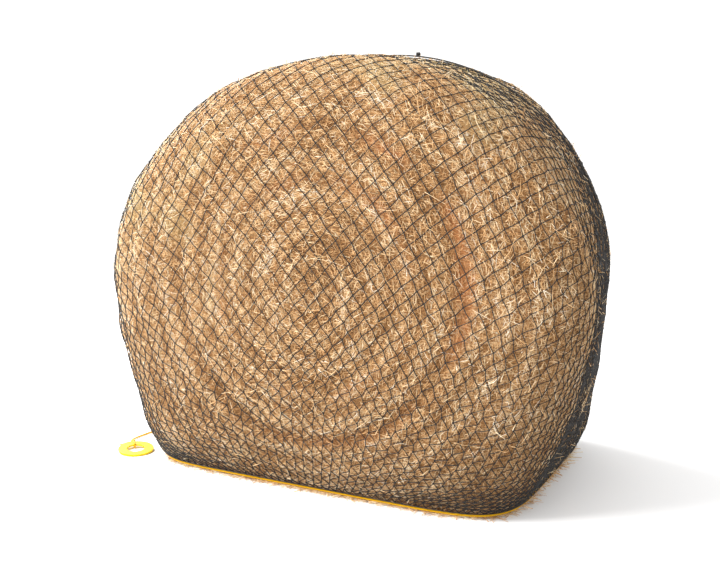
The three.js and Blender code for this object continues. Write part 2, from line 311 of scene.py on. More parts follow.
def speckle(tree, where):
    """Small shifts of tone along a stalk, about -0.12 to 0.12."""
    flecks = node(tree, "ShaderNodeTexNoise", {"Vector": where})
    flecks.inputs["Scale"].default_value = 90
    flecks.inputs["Detail"].default_value = 3
    return math_node(tree, "MULTIPLY", math_node(tree, "SUBTRACT", flecks.outputs["Fac"], 0.5), 0.5)


def hay_material(name, colours, shaded):
    """Dried meadow hay: dull, slightly waxy stalks, pale where the sun bleached them and brown inside; the lowest
    tones are painted shade deep between the stalks.
    """
    material, tree, shader = new_material(name)
    tone = node(tree, "ShaderNodeAttribute", attribute_name="hay_tone")
    parts = node(tree, "ShaderNodeSeparateColor", {"Color": tone.outputs["Color"]})
    where = node(tree, "ShaderNodeTexCoord").outputs["Object"]
    # on the body the fibre value paints shade between the stalks and lightens the ones on top; on the loose stalks
    # the speckle is random tone
    flecks = fibres(tree, where) if shaded else speckle(tree, where)
    height = math_node(tree, "ADD", parts.outputs["Red"], flecks)
    stalk = ramp(
        tree,
        height,
        [
            (0.0, colours.hay_shadow),
            (0.3, colours.hay_brown),
            (0.55, colours.hay_tan),
            (0.8, colours.hay_pale),
            (1.0, colours.hay_bleached),
        ],
    )
    rusty = mixed(tree, parts.outputs["Green"], stalk, colours.hay_rust)
    green = mixed(tree, parts.outputs["Blue"], rusty, colours.hay_olive)
    tree.links.new(green, shader.inputs["Base Color"])
    shader.inputs["Roughness"].default_value = 0.62
    shader.inputs["Specular IOR Level"].default_value = 0.28
    if shaded:
        bump = node(tree, "ShaderNodeBump", {"Height": flecks})
        bump.inputs["Strength"].default_value = 1.0
        bump.inputs["Distance"].default_value = 0.003
        tree.links.new(bump.outputs["Normal"], shader.inputs["Normal"])
    return material


def twine_material(name, colour, light, roughness, pitch):
    """Braided polyethylene twine: a tight waxy lay, dull black or yellow, catching light on each strand."""
    material, tree, shader = new_material(name)
    where = node(tree, "ShaderNodeTexCoord").outputs["Object"]
    mottle = node(tree, "ShaderNodeTexNoise", {"Vector": where})
    mottle.inputs["Scale"].default_value = 22
    mottle.inputs["Detail"].default_value = 3
    strands = node(tree, "ShaderNodeTexNoise", {"Vector": where})
    strands.inputs["Scale"].default_value = 1 / pitch
    strands.inputs["Detail"].default_value = 2
    base = mixed(tree, mottle.outputs["Fac"], colour, light)
    tree.links.new(base, shader.inputs["Base Color"])
    shader.inputs["Roughness"].default_value = roughness
    shader.inputs["Specular IOR Level"].default_value = 0.4
    bump = node(tree, "ShaderNodeBump", {"Height": strands.outputs["Fac"]})
    bump.inputs["Strength"].default_value = 0.5
    bump.inputs["Distance"].default_value = 0.0008
    tree.links.new(bump.outputs["Normal"], shader.inputs["Normal"])
    return material


def rope_material(name, colour, dark):
    """Braided polypropylene cord: bright yarns that cross, with a darker line between them."""
    material, tree, shader = new_material(name)
    uv = node(tree, "ShaderNodeUVMap", uv_map="lay").outputs["UV"]
    spot = node(tree, "ShaderNodeSeparateXYZ", {"Vector": uv})
    waves = []
    for turn in (1, -1):
        slant = math_node(tree, "MULTIPLY", spot.outputs["Y"], float(turn))
        phase = math_node(tree, "ADD", math_node(tree, "MULTIPLY", spot.outputs["X"], 4.0), slant)
        wave = math_node(tree, "SINE", math_node(tree, "MULTIPLY", phase, 2 * math.pi))
        waves.append(math_node(tree, "ABSOLUTE", wave))
    yarns = math_node(tree, "MULTIPLY", waves[0], waves[1])
    edge = math_node(tree, "POWER", yarns, 0.35)
    base = mixed(tree, edge, dark, colour)
    tree.links.new(base, shader.inputs["Base Color"])
    shader.inputs["Roughness"].default_value = 0.5
    shader.inputs["Specular IOR Level"].default_value = 0.25
    bump = node(tree, "ShaderNodeBump", {"Height": edge})
    bump.inputs["Strength"].default_value = 0.7
    bump.inputs["Distance"].default_value = 0.0008
    tree.links.new(bump.outputs["Normal"], shader.inputs["Normal"])
    return material


def plastic_material(name, colour, scuffed):
    """Injection-moulded polyethylene: even bright yellow, satin, with faint scuffs from the ground."""
    material, tree, shader = new_material(name)
    where = node(tree, "ShaderNodeTexCoord").outputs["Object"]
    scuffs = node(tree, "ShaderNodeTexNoise", {"Vector": where})
    scuffs.inputs["Scale"].default_value = 130
    scuffs.inputs["Detail"].default_value = 5
    worn = ramp(tree, scuffs.outputs["Fac"], [(0.35, scuffed), (0.52, colour)])
    tree.links.new(worn, shader.inputs["Base Color"])
    shader.inputs["Roughness"].default_value = 0.45
    shader.inputs["Specular IOR Level"].default_value = 0.15
    shader.inputs["IOR"].default_value = 1.5
    bump = node(tree, "ShaderNodeBump", {"Height": scuffs.outputs["Fac"]})
    bump.inputs["Strength"].default_value = 0.15
    bump.inputs["Distance"].default_value = 0.0004
    tree.links.new(bump.outputs["Normal"], shader.inputs["Normal"])
    return material


# ---- meshes ---------------------------------------------------------------------------------------------


def placed(name, mesh, material, body, replaces=()):
    """Puts a finished mesh in the scene, on its body, with its finish."""
    piece = bpy.data.objects.new(name, mesh)
    bpy.context.scene.collection.objects.link(piece)
    mesh.materials.append(material)
    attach(piece, body)
    if replaces:
        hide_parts(*replaces)
    return piece


def shape_arrays(bm):
    """The corners and faces of a small shape, to be repeated; it is freed."""
    bmesh.ops.triangulate(bm, faces=bm.faces[:])
    bm.verts.index_update()
    corners = np.array([v.co[:] for v in bm.verts])
    faces = np.array([[v.index for v in f.verts] for f in bm.faces])
    bm.free()
    return corners, faces


def repeated_mesh(name, corners, faces, smooth=True):
    """One mesh from many placed copies of a shape: corners is copies x points x 3."""
    copies, points = corners.shape[:2]
    every = (faces[None] + (np.arange(copies) * points)[:, None, None]).reshape(-1, 3)
    return mesh_from(name, corners.reshape(-1, 3), every, smooth)


def mesh_from(name, corners, faces, smooth=True):
    mesh = bpy.data.meshes.new(name)
    mesh.vertices.add(len(corners))
    mesh.vertices.foreach_set("co", corners.astype(np.float32).ravel())
    mesh.loops.add(faces.size)
    mesh.loops.foreach_set("vertex_index", faces.astype(np.int32).ravel())
    mesh.polygons.add(len(faces))
    mesh.polygons.foreach_set("loop_start", np.arange(0, faces.size, 3, dtype=np.int32))
    mesh.update(calc_edges=True)
    mesh.polygons.foreach_set("use_smooth", np.full(len(faces), smooth))
    mesh.validate()
    return mesh


def with_tone(mesh, tone):
    layer = mesh.color_attributes.new("hay_tone", "FLOAT_COLOR", "POINT")
    layer.data.foreach_set("color", np.column_stack([tone, np.ones(len(tone))]).astype(np.float32).ravel())


def spline_points(points, step, closed=False):
    """A smooth line through points, with one point per step of length."""
    p = np.asarray(points, float)
    if closed:
        p = np.vstack([p, p[:1]])
        padded = np.vstack([p[-2], p, p[1]])
    else:
        padded = np.vstack([2 * p[0] - p[1], p, 2 * p[-1] - p[-2]])
    fine = []
    for i in range(1, len(padded) - 2):
        a, b, c, d = padded[i - 1 : i + 3]
        for t in np.linspace(0, 1, 12, endpoint=False):
            fine.append(
                0.5
                * ((2 * b) + (c - a) * t + (2 * a - 5 * b + 4 * c - d) * t**2 + (3 * b - a - 3 * c + d) * t**3)
            )
    fine.append(padded[-2])
    fine = np.array(fine)
    along = np.concatenate([[0], np.cumsum(np.linalg.norm(np.diff(fine, axis=0), axis=1))])
    count = max(4, int(round(along[-1] / step)))
    places = np.linspace(0, along[-1], count + 1)
    out = np.stack([np.interp(places, along, fine[:, k]) for k in range(3)], -1)
    return out[:-1] if closed else out


def frames_along(line, closed=False):
    """Tangents and two cross directions that don't twist along a line."""
    if closed:
        ahead = np.roll(line, -1, 0) - np.roll(line, 1, 0)
    else:
        ahead = np.gradient(line, axis=0)
    tangent = ahead / np.linalg.norm(ahead, axis=1)[:, None]
    up = np.tile([0.0, 0.0, 1.0], (len(line), 1))
    up[np.abs(tangent[:, 2]) > 0.95] = [0.0, 1.0, 0.0]
    side = np.cross(tangent, up)
    side /= np.linalg.norm(side, axis=1)[:, None]
    return tangent, side, np.cross(side, tangent)


def rope(name, line, radius, sides=12, closed=False, strands=0, lay=0.03, depth=0.0):
    """A closed rope mesh along a line, with UVs that run round it and along it in turns of its lay."""
    rings = len(line) + (1 if closed else 0)
    bm = bmesh.new()
    bm.loops.layers.uv.new("lay")
    bmesh.ops.create_grid(bm, x_segments=sides, y_segments=rings - 1, size=0.5, calc_uvs=True)
    bm.verts.ensure_lookup_table()
    _, side, rise = frames_along(line, closed)
    step = np.linalg.norm(line[1] - line[0])
    for vert in bm.verts:
        around, ring = vert.co.x + 0.5, round((vert.co.y + 0.5) * (rings - 1))
        turn = 2 * math.pi * around
        at = ring % len(line)
        swell = 1 + depth * math.cos(strands * turn + 2 * math.pi * ring * step / lay) if strands else 1
        out = side[at] * math.cos(turn) + rise[at] * math.sin(turn)
        vert.co = line[at] + out * radius * swell
    uv_layer = bm.loops.layers.uv.active
    for face in bm.faces:
        for loop in face.loops:
            loop[uv_layer].uv.y *= (rings - 1) * step / lay
    bmesh.ops.remove_doubles(bm, verts=bm.verts[:], dist=1e-6)
    rims = [e for e in bm.edges if e.is_boundary]
    if rims:
        bmesh.ops.holes_fill(bm, edges=rims, sides=0)
    bmesh.ops.recalc_face_normals(bm, faces=bm.faces[:])
    mesh = bpy.data.meshes.new(name)
    bm.to_mesh(mesh)
    bm.free()
    mesh.shade_smooth()
    return mesh


# ---- settings -------------------------------------------------------------------------------------------


class HayNetSizes(bpy.types.PropertyGroup):
    """The sizes and counts that a user would change."""

    mesh_bar: FloatProperty(name="Mesh bar", description="Knot to knot", default=0.038, unit="LENGTH")
    twine: FloatProperty(name="Twine", description="Netting twine thickness", default=0.0030, unit="LENGTH")
    columns: IntProperty(name="Columns", description="Meshes round the net", default=160, min=12)
    rows: IntProperty(name="Rows", description="Rows of knots from mouth to closed end", default=66, min=8)
    twist: FloatProperty(name="Twist", description="Mouth turned against the closed end, in turns", default=0.0)
    short_stalks: IntProperty(name="Short stalks", description="Straight broken stalks", default=118000, min=100)
    long_stalks: IntProperty(name="Long stalks", description="Bent stalks", default=9000, min=100)
    stalk_width: FloatProperty(name="Stalk width", description="Stalk thickness", default=0.0019, unit="LENGTH")


def colour(label, hex_colour, about):
    """A colour setting whose default is given as sRGB hex."""
    return FloatVectorProperty(name=label, description=about, subtype="COLOR", default=linear(hex_colour))


class HayNetColours(bpy.types.PropertyGroup):
    """The colours of the hay, the netting, the cord and the ring."""

    hay_shadow: colour("Hay shadow", "#6E4A28", "Deep between the stalks")
    hay_brown: colour("Hay brown", "#A87846", "Weathered stalks")
    hay_tan: colour("Hay tan", "#DDB07A", "Most of the stalks")
    hay_pale: colour("Hay pale", "#F4DCB2", "Dry stalks")
    hay_bleached: colour("Hay bleached", "#FFF6E4", "Bleached stalks")
    hay_rust: colour("Hay rust", "#B8713E", "Rusty layers in the roll")
    hay_olive: colour("Hay olive", "#B3A870", "Green-cured layers")
    net_black: colour("Net black", "#14110F", "Netting twine")
    net_sheen: colour("Net sheen", "#2A2521", "Netting twine where it catches light")
    cord_yellow: colour("Cord yellow", "#F5BC00", "Drawcord")
    cord_shade: colour("Cord shade", "#B07C00", "Between the cord's yarns")
    ring_yellow: colour("Ring yellow", "#E6C000", "Pull ring")
    ring_scuff: colour("Ring scuff", "#D9AC06", "Scuffs on the ring")


def settings():
    return bpy.context.scene.hay_net_sizes, bpy.context.scene.hay_net_colours


# ---- stage ----------------------------------------------------------------------------------------------

CAMERA_SPOT = (1.547, -3.172, 1.224)
CAMERA_TURN = (math.radians(80.0), 0, math.radians(27.0))
CAMERA_LENS = 50.6


class HAYNET_OT_stage(bpy.types.Operator):
    """Sets the camera, the pale floor and the soft lights"""

    bl_idname = "haynet.stage"
    bl_label = "Stage"

    def execute(self, context):
        scene = context.scene
        camera = bpy.data.objects.new("camera", bpy.data.cameras.new("camera"))
        camera.location = CAMERA_SPOT
        camera.rotation_euler = CAMERA_TURN
        camera.data.lens = CAMERA_LENS
        camera.data.sensor_width = 36
        scene.collection.objects.link(camera)
        scene.camera = camera
        scene.view_settings.view_transform = "Standard"

        bm = bmesh.new()
        bmesh.ops.create_grid(bm, x_segments=1, y_segments=1, size=30)
        bmesh.ops.translate(bm, verts=bm.verts[:], vec=(0, 0, -0.0005))
        floor_mesh = bpy.data.meshes.new("floor")
        bm.to_mesh(floor_mesh)
        bm.free()
        floor = bpy.data.objects.new("floor", floor_mesh)
        scene.collection.objects.link(floor)
        material, _, shader = new_material("white studio floor")
        shader.inputs["Base Color"].default_value = [0.93, 0.93, 0.93, 1]
        shader.inputs["Roughness"].default_value = 0.9
        shader.inputs["Specular IOR Level"].default_value = 0.0
        floor_mesh.materials.append(material)

        world = scene.world or bpy.data.worlds.new("studio")
        scene.world = world
        world.use_nodes = True
        background = world.node_tree.nodes["Background"]
        background.inputs["Color"].default_value = [1, 1, 1, 1]
        background.inputs["Strength"].default_value = 1.25

        self.lamp(scene, "key", (-2.6, -3.2, 3.9), (0, 0, 0.5), 2.4, 390)
        self.lamp(scene, "rim", (-3.4, 1.2, 2.2), (-0.4, 0, 0.7), 1.6, 230)
        return {"FINISHED"}

    def lamp(self, scene, name, spot, aim, size, watts):
        data = bpy.data.lights.new(name, "AREA")
        data.shape = "DISK"
        data.size = size
        data.energy = watts
        lamp = bpy.data.objects.new(name, data)
        lamp.location = spot
        lamp.rotation_euler = (Vector(aim) - Vector(spot)).to_track_quat("-Z", "Y").to_euler()
        scene.collection.objects.link(lamp)


# ---- the free cord and the ring -------------------------------------------------------------------------


def ring_frame():
    """The leaning ring's frame: its middle, the way to the knot, the way across and its own up."""
    half = RING_THICK / 2
    cord = CORD_DIAMETER / 2
    loop_half = half + LOOP_CLEAR + 2 * cord
    loop_inner = RING_HOLE - LOOP_CLEAR - cord
    tilt = math.atan((loop_half - half) / (loop_inner + RING_OUTER))
    height = FLOOR_GAP + RING_OUTER * math.sin(tilt) + half * math.cos(tilt)
    level = np.array([math.cos(TOWARD_KNOT), math.sin(TOWARD_KNOT), 0])
    sideways = np.array([-level[1], level[0], 0])
    up = np.array([0, 0, 1.0])
    toward = level * math.cos(tilt) + up * math.sin(tilt)
    return np.array([*RING_SPOT, height]), toward, sideways, np.cross(toward, sideways), level


def cord_material():
    name = "braided polypropylene cord"
    found = bpy.data.materials.get(name)
    _, colours = settings()
    return found or rope_material(name, colours.cord_yellow, colours.cord_shade)


class HAYNET_OT_ring_tie(bpy.types.Operator):
    """Makes the drawcord's loop round the ring, its knot and the knot's short tail"""

    bl_idname = "haynet.ring_tie"
    bl_label = "Loop and knot on the ring"

    def execute(self, context):
        centre, toward, sideways, up, level = ring_frame()
        cord = CORD_DIAMETER / 2
        inner, outer = RING_HOLE - LOOP_CLEAR - cord, RING_OUTER + LOOP_CLEAR + cord
        half = RING_THICK / 2 + LOOP_CLEAR + cord
        mid, reach = (inner + outer) / 2, (outer - inner) / 2
        turns = np.linspace(0, 2 * math.pi, 40, endpoint=False)
        square = 3.6
        out = np.sign(np.cos(turns)) * np.abs(np.cos(turns)) ** (2 / square) * reach + mid
        rise = np.sign(np.sin(turns)) * np.abs(np.sin(turns)) ** (2 / square) * half
        points = centre + out[:, None] * toward + rise[:, None] * up
        line = spline_points(points, 0.0015, closed=True)
        mesh = rope("loop", line, cord * 0.98, sides=14, closed=True, strands=4, lay=0.012, depth=0.05)
        placed("ring_cord_loop", mesh, cord_material(), "ring_tie", ["ring_loop"])

        # three tight turns round the standing part, the way a barrel knot looks
        middle = np.array([*RING_SPOT, 0]) + level * KNOT_AWAY + [0, 0, KNOT_HEIGHT]
        turns = np.linspace(0, 3 * 2 * math.pi, 70)
        along = np.linspace(-0.0062, 0.0062, 70)
        coil_radius = 0.0053
        coil = (
            middle
            + along[:, None] * sideways
            + coil_radius * (np.cos(turns)[:, None] * level + np.sin(turns)[:, None] * [0, 0, 1])
        )
        mesh = rope("knot", spline_points(coil, 0.0012), cord, sides=12, strands=4, lay=0.012, depth=0.05)
        placed("ring_knot_turns", mesh, cord_material(), "ring_tie", ["ring_knot"])

        start = 0.0094
        steps = [(-0.004, 0), (0, 0), (0.009, -0.0009), (0.019, -0.0032), (0.029, -0.0049), (0.037, -0.0052)]
        tail = [middle + sideways * (start + ahead) + np.array([0, 0, drop]) for ahead, drop in steps]
        mesh = rope("tail", spline_points(tail, 0.0015), cord * 0.97, sides=12, strands=4, lay=0.012, depth=0.05)
        placed("knot_end", mesh, cord_material(), "ring_tie", ["knot_tail"])
        return {"FINISHED"}


class HAYNET_OT_ring(bpy.types.Operator):
    """Finishes the flat moulded pull ring"""

    bl_idname = "haynet.ring"
    bl_label = "Pull ring"

    def execute(self, context):
        _, colours = settings()
        material = plastic_material("moulded yellow polyethylene", colours.ring_yellow, colours.ring_scuff)
        for slot in bpy.data.objects["cinch_ring"].material_slots:
            slot.material = material
        return {"FINISHED"}


class HAYNET_OT_lead(bpy.types.Operator):
    """Lays the drawcord's free end from the mouth to the ring"""

    bl_idname = "haynet.lead"
    bl_label = "Free cord"

    def execute(self, context):
        line = spline_points(LEAD_ROUTE, 0.002)
        radius = CORD_DIAMETER / 2
        mesh = rope("lead", line, radius * 0.98, sides=14, strands=4, lay=0.012, depth=0.05)
        lead = placed("free_cord", mesh, cord_material(), "cord_lead", ["drawcord_lead"])
        length = float(np.linalg.norm(np.diff(line, axis=0), axis=1).sum())
        if abs(length - LEAD_LENGTH) > 0.02:
            raise RuntimeError(f"the lead's route is {length:.3f} m long")

        y = np.linspace(TAIL_REAR_Y, TAIL_FRONT_Y - 0.0002, 76)
        line = np.stack([np.full_like(y, LEFT_HEM_X), y, np.full_like(y, DRAWCORD_HEIGHT)], -1)
        mesh = rope("tail", line, radius * 0.98, sides=12, strands=4, lay=0.012, depth=0.05)
        placed("drawcord_inner_end", mesh, cord_material(), "cord_tail", ["drawcord_tail"])
        return {"FINISHED"}


class HAYNET_OT_drawcord(bpy.types.Operator):
    """Threads the drawcord round the mouth and ties its stop knot"""

    bl_idname = "haynet.drawcord"
    bl_label = "Drawcord"

    def execute(self, context):
        start = math.atan2(TAIL_REAR_Y + 0.045, LEFT_HEM_X)
        stop = math.atan2(DRAWCORD_END_Y, LEFT_HEM_X)
        around = foot_path(DRAWCORD_HEIGHT, HEM_GROW, start, stop, 160)
        lead_in = [(LEFT_HEM_X, TAIL_REAR_Y + ahead, DRAWCORD_HEIGHT) for ahead in (0.0004, 0.008, 0.016)]
        line = spline_points(np.vstack([lead_in, around]), 0.0035)
        mesh = rope("drawcord", line, CORD_DIAMETER / 2, sides=10, strands=4, lay=0.014, depth=0.05)
        placed("drawcord_rope", mesh, cord_material(), BALE, ["drawcord"])

        end = around[-1]
        turns = np.linspace(0, 2 * 2 * math.pi, 50)
        wide = 0.0050
        coil = np.stack(
            [
                end[0] + wide * np.cos(turns),
                end[1] + 0.008 + np.linspace(-0.004, 0.006, 50),
                DRAWCORD_HEIGHT + wide * np.sin(turns),
            ],
            -1,
        )
        mesh = rope("stop", spline_points(coil, 0.0015), CORD_DIAMETER / 2 * 0.9, sides=12, strands=4, lay=0.012)
        placed("stop_knot_turns", mesh, cord_material(), BALE, ["stop_knot"])
        return {"FINISHED"}


# ---- hay ------------------------------------------------------------------------------------------------


def tone_of(points, spread):
    """Per-point hay colour: lightness, rust and olive parts, from the roll's layers and patches."""
    reach, angle, on_end = on_roll(points)
    patch = np.array([noise.noise(Vector(p) * 6.5) for p in points])
    wide = np.array([noise.noise(Vector(p) * 1.7 + Vector((7, 3, 1))) for p in points])
    light = 0.55 + 0.13 * winding(points) * on_end + 0.14 * patch + 0.08 * wide + spread
    light -= 0.13 * np.exp(-(((reach - DARK_RING) / 0.025) ** 2)) * on_end
    light -= 0.12 * np.exp(-((reach / 0.08) ** 2)) * on_end
    rusty_side = 0.5 + 0.5 * np.cos(angle - 0.15)
    rust_band = np.exp(-(((reach - DARK_RING) / 0.025) ** 2)) * rusty_side
    rust_band += 0.5 * np.exp(-(((reach - 0.38) / 0.02) ** 2))
    rust = np.clip((rust_band * (0.35 + 0.9 * patch) + 0.12 * patch) * on_end, 0, 0.5)
    shoulder = np.exp(-(((reach - 0.96) / 0.06) ** 2)) * on_end
    olive = np.clip(0.5 * wide + 0.4 * patch - 0.2 * on_end + 0.5 * shoulder, 0, 0.5)
    return np.stack([np.clip(light, 0, 1), rust, olive], -1)


class HAYNET_OT_hay_body(bpy.types.Operator):
    """Makes the bale's wound body, lumpy and ridged, under the loose stalks"""

    bl_idname = "haynet.hay_body"
    bl_label = "Hay body"

    def execute(self, context):
        _, colours = settings()
        bm = bmesh.new()
        bmesh.ops.create_uvsphere(bm, u_segments=220, v_segments=150, radius=1)
        bmesh.ops.rotate(bm, verts=bm.verts[:], cent=(0, 0, 0), matrix=Matrix.Rotation(math.pi / 2, 3, "X"))
        directions = np.array([v.co[:] for v in bm.verts])
        even = skin(directions)
        low = relief(even) - 0.006
        p = skin(directions, low)
        p[:, 2] = np.maximum(p[:, 2], 0.0004)
        for vert, spot in zip(bm.verts, p):
            vert.co = spot
        bmesh.ops.recalc_face_normals(bm, faces=bm.faces[:])
        mesh = bpy.data.meshes.new("hay_body")
        bm.to_mesh(mesh)
        bm.free()
        mesh.shade_smooth()
        # The body under the loose stalks is toned darker than they are: partly browner hay inside, partly painted
        # shade in the gaps between the stalks.
        tone = tone_of(p, -0.16)
        with_tone(mesh, tone)
        material = hay_material("packed meadow hay", colours, True)
        nodes = ["hay_core", "hay_inner_windings", "hay_middle_windings", "hay_outer_windings"]
        body = placed("hay_body", mesh, material, BALE, nodes)
        return {"FINISHED"}


def unit(v):
    return v / np.maximum(np.linalg.norm(v, axis=-1), 1e-9)[..., None]


def stalk_shape(bent):
    """A three-sided stalk, closed at both ends; its corners' heights are -1 and 1, and 0 if it bends."""
    bm = bmesh.new()
    bmesh.ops.create_cone(bm, cap_ends=True, cap_tris=False, segments=3, radius1=1, radius2=0.6, depth=2)
    if bent:
        upright = [e for e in bm.edges if abs(e.verts[0].co.z - e.verts[1].co.z) > 1]
        bmesh.ops.subdivide_edges(bm, edges=upright, cuts=1)
    return shape_arrays(bm)


def stalks(three, width, flat, bent=True):
    """Corners of stalks laid through three points each: three is n x 3 x 3."""
    corners, faces = stalk_shape(bent)
    way = unit(three[:, 2] - three[:, 0])
    side = unit(np.cross(way, flat))
    rise = np.cross(side, way)
    level = np.rint(corners[:, 2]).astype(int) + 1
    placed_at = three[:, level, :]
    out = corners[None, :, 0:1] * side[:, None] + corners[None, :, 1:2] * rise[:, None] * 0.6
    return placed_at + out * width[:, None, None], faces


SHORT_STALK = 0.020
LONG_STALK = 0.042
PROUD_SHARE = 0.06
PUFF = 0.012
FOOT_CLEAR = 0.030
PROUD_LIMIT = 0.024


class HAYNET_OT_straws(bpy.types.Operator):
    """Lays loose stalks over the bale, mostly along its windings, with a fuzz that stands proud"""

    bl_idname = "haynet.straws"
    bl_label = "Loose hay stalks"

    def execute(self, context):
        sizes, colours = settings()
        material = hay_material("loose hay stalks", colours, False)
        self.bars = bar_finder()
        self.scatter("short", sizes.short_stalks, SHORT_STALK, False, material)
        self.scatter("long", sizes.long_stalks, LONG_STALK, True, material)
        self.fringe(material)
        return {"FINISHED"}

    def scatter(self, kind, count, length, bent, material):
        """Lays one kind of stalk all over the bale, one piece for each zone."""
        sizes, _ = settings()
        spots, normals = self.sample(count)
        three, width = self.lay(spots, normals, length, sizes.stalk_width, bent)
        corners, faces = stalks(three, width, normals, bent)
        corners[..., 2] = np.maximum(corners[..., 2], 0.0006)
        tone = tone_of(spots, rng.normal(0.08, 0.15, count))
        tone[:, 1] *= rng.uniform(0.2, 1.3, count)
        tone[:, 2] *= rng.uniform(0.0, 1.5, count)
        for zone, chosen in self.zones(spots).items():
            name = f"{kind}_stalks_{zone}"
            mesh = repeated_mesh(name, corners[chosen], faces)
            with_tone(mesh, np.repeat(tone[chosen], corners.shape[1], axis=0))
            placed(name, mesh, material, BALE)

    def sample(self, count):
        """Points spread evenly over the body's faces above the floor, with their normals."""
        mesh = bpy.data.objects["hay_body"].data
        co = np.empty(len(mesh.vertices) * 3, np.float32)
        mesh.vertices.foreach_get("co", co)
        co = co.reshape(-1, 3).astype(float)
        mesh.calc_loop_triangles()
        tri = np.empty(len(mesh.loop_triangles) * 3, np.int32)
        mesh.loop_triangles.foreach_get("vertices", tri)
        tri = tri.reshape(-1, 3)
        a, b, c = co[tri[:, 0]], co[tri[:, 1]], co[tri[:, 2]]
        normal = np.cross(b - a, c - a)
        area = np.linalg.norm(normal, axis=1)
        area[(a[:, 2] < 0.002) & (b[:, 2] < 0.002) & (c[:, 2] < 0.002)] = 0
        pick = rng.choice(len(tri), count, p=area / area.sum())
        u, v = rng.random(count), rng.random(count)
        over = u + v > 1
        u[over], v[over] = 1 - u[over], 1 - v[over]
        spots = a[pick] + u[:, None] * (b - a)[pick] + v[:, None] * (c - a)[pick]
        return spots, unit(normal[pick])

    def lay(self, spots, normals, usual_length, width, bent):
        count = len(spots)
        round_way = unit(np.stack([-(spots[:, 2] - CENTRE_HEIGHT), np.zeros(count), spots[:, 0]], -1))
        round_way = unit(round_way - normals * (round_way * normals).sum(1)[:, None])
        other = np.cross(normals, round_way)
        on_end = np.abs(normals[:, 1]) > 0.6
        angle = np.where(on_end, rng.normal(0, 0.75, count), rng.normal(0, 0.95, count))
        way = np.cos(angle)[:, None] * round_way + np.sin(angle)[:, None] * other
        length = np.clip(rng.lognormal(math.log(usual_length), 0.38, count), 0.012, 0.13)
        ends = np.stack([spots - way * length[:, None] / 2, spots, spots + way * length[:, None] / 2], 1)
        bow = rng.normal(0, 0.10, count) * length
        ends[:, 1] += np.cross(normals, way) * bow[:, None]
        height = rng.uniform(-0.007, 0.0, (count, 3)) + self.puff(ends, bent) * rng.uniform(0.35, 1, (count, 1))
        proud = rng.random(count) < PROUD_SHARE
        which = rng.integers(0, 2, count) * 2
        height[np.arange(count)[proud], which[proud]] += rng.exponential(0.006, proud.sum())
        flat = ends.reshape(-1, 3)
        above_foot = np.clip((flat[:, 2] - FOOT_CLEAR) / FOOT_CLEAR, 0, 1)
        lift = relief(flat) + height.ravel()
        flat = onto_skin(flat, np.minimum(lift, 0.002 + (PROUD_LIMIT - 0.002) * above_foot))
        widths = np.clip(rng.normal(width, width * 0.3, count), 0.0009, 0.005) / 2
        return flat.reshape(-1, 3, 3), widths

    def puff(self, ends, bent):
        """How far hay swells out between the bars: nothing under a bar, most in a mesh's middle."""
        flat = onto_skin(ends.reshape(-1, 3), NET_GROW)
        gap = np.array([self.bars.find(spot)[2] for spot in flat]).reshape(-1, 3)
        if not bent:
            gap[:] = gap.min(axis=1)[:, None]
        rise = np.clip((gap - 0.003) / 0.010, 0, 1)
        return PUFF * rise * rise * (3 - 2 * rise)

    def zones(self, spots):
        """Index sets of up to about 14,000 stalks, by the side of the bale that they lie on."""
        d = unsettled(spots)
        along = d[:, 1] / HALF_LENGTH
        turn = np.arctan2(d[:, 2], d[:, 0])
        front, rear = along < -0.80, along > 0.80
        roll = ~(front | rear)
        left = np.cos(turn) < 0
        return {
            "front_left": np.flatnonzero(front & left),
            "front_right": np.flatnonzero(front & ~left),
            "rear_left": np.flatnonzero(rear & left),
            "rear_right": np.flatnonzero(rear & ~left),
            "roll_left": np.flatnonzero(roll & left & (d[:, 2] < 0.3)),
            "roll_right": np.flatnonzero(roll & ~left & (d[:, 2] < 0.3)),
            "top_left": np.flatnonzero(roll & left & (d[:, 2] >= 0.3)),
            "top_right": np.flatnonzero(roll & ~left & (d[:, 2] >= 0.3)),
        }

    def fringe(self, material):
        """Stalks that have fallen out round the mouth and lie on the ground."""
        count = 2600
        around = foot_path(0.002, 0.004, -math.pi, math.pi, 721)
        at = rng.integers(0, 720, count)
        start = around[at]
        way = rng.uniform(0, 2 * math.pi, count)
        step = np.stack([np.cos(way), np.sin(way), np.zeros(count)], -1)
        length = np.clip(rng.lognormal(math.log(0.045), 0.4, count), 0.015, 0.085)
        outward = unit(start * [1, 1, 0])
        middle = start + outward * np.abs(rng.normal(0, 0.009, count))[:, None]
        three = np.stack([middle - step * length[:, None] / 2, middle, middle + step * length[:, None] / 2], 1)
        heap = np.where((middle[:, 1] > -0.30) | (middle[:, 0] < -0.62), 0.018, 0.006)
        three[..., 2] = 0.001 + rng.random((count, 3)) * heap[:, None]
        flat = np.tile([0.0, 0.0, 1.0], (count, 1))
        corners, faces = stalks(three, np.clip(rng.normal(0.0011, 0.0004, count), 0.0005, 0.002), flat)
        corners[..., 2] = np.maximum(corners[..., 2], 0.0006)
        mesh = repeated_mesh("stalks_at_foot", corners, faces)
        tone = tone_of(middle, rng.normal(0.05, 0.16, count)) * [1, 0, 1]
        with_tone(mesh, np.repeat(tone, corners.shape[1], axis=0))
        placed("stalks_at_foot", mesh, material, BALE)


# ---- netting --------------------------------------------------------------------------------------------

NET_EDGE_GROW = 0.0125
CLOSED_Y = 0.060
CLOSED_ENDS = (math.radians(-35), math.radians(215))
LACED_SHARE = (55 / 250, 195 / 250)
NET_GROW = 0.0025
SETTLING_STEPS = 900
LEAST_CLIMB = 0.5
EVENING = 0.25


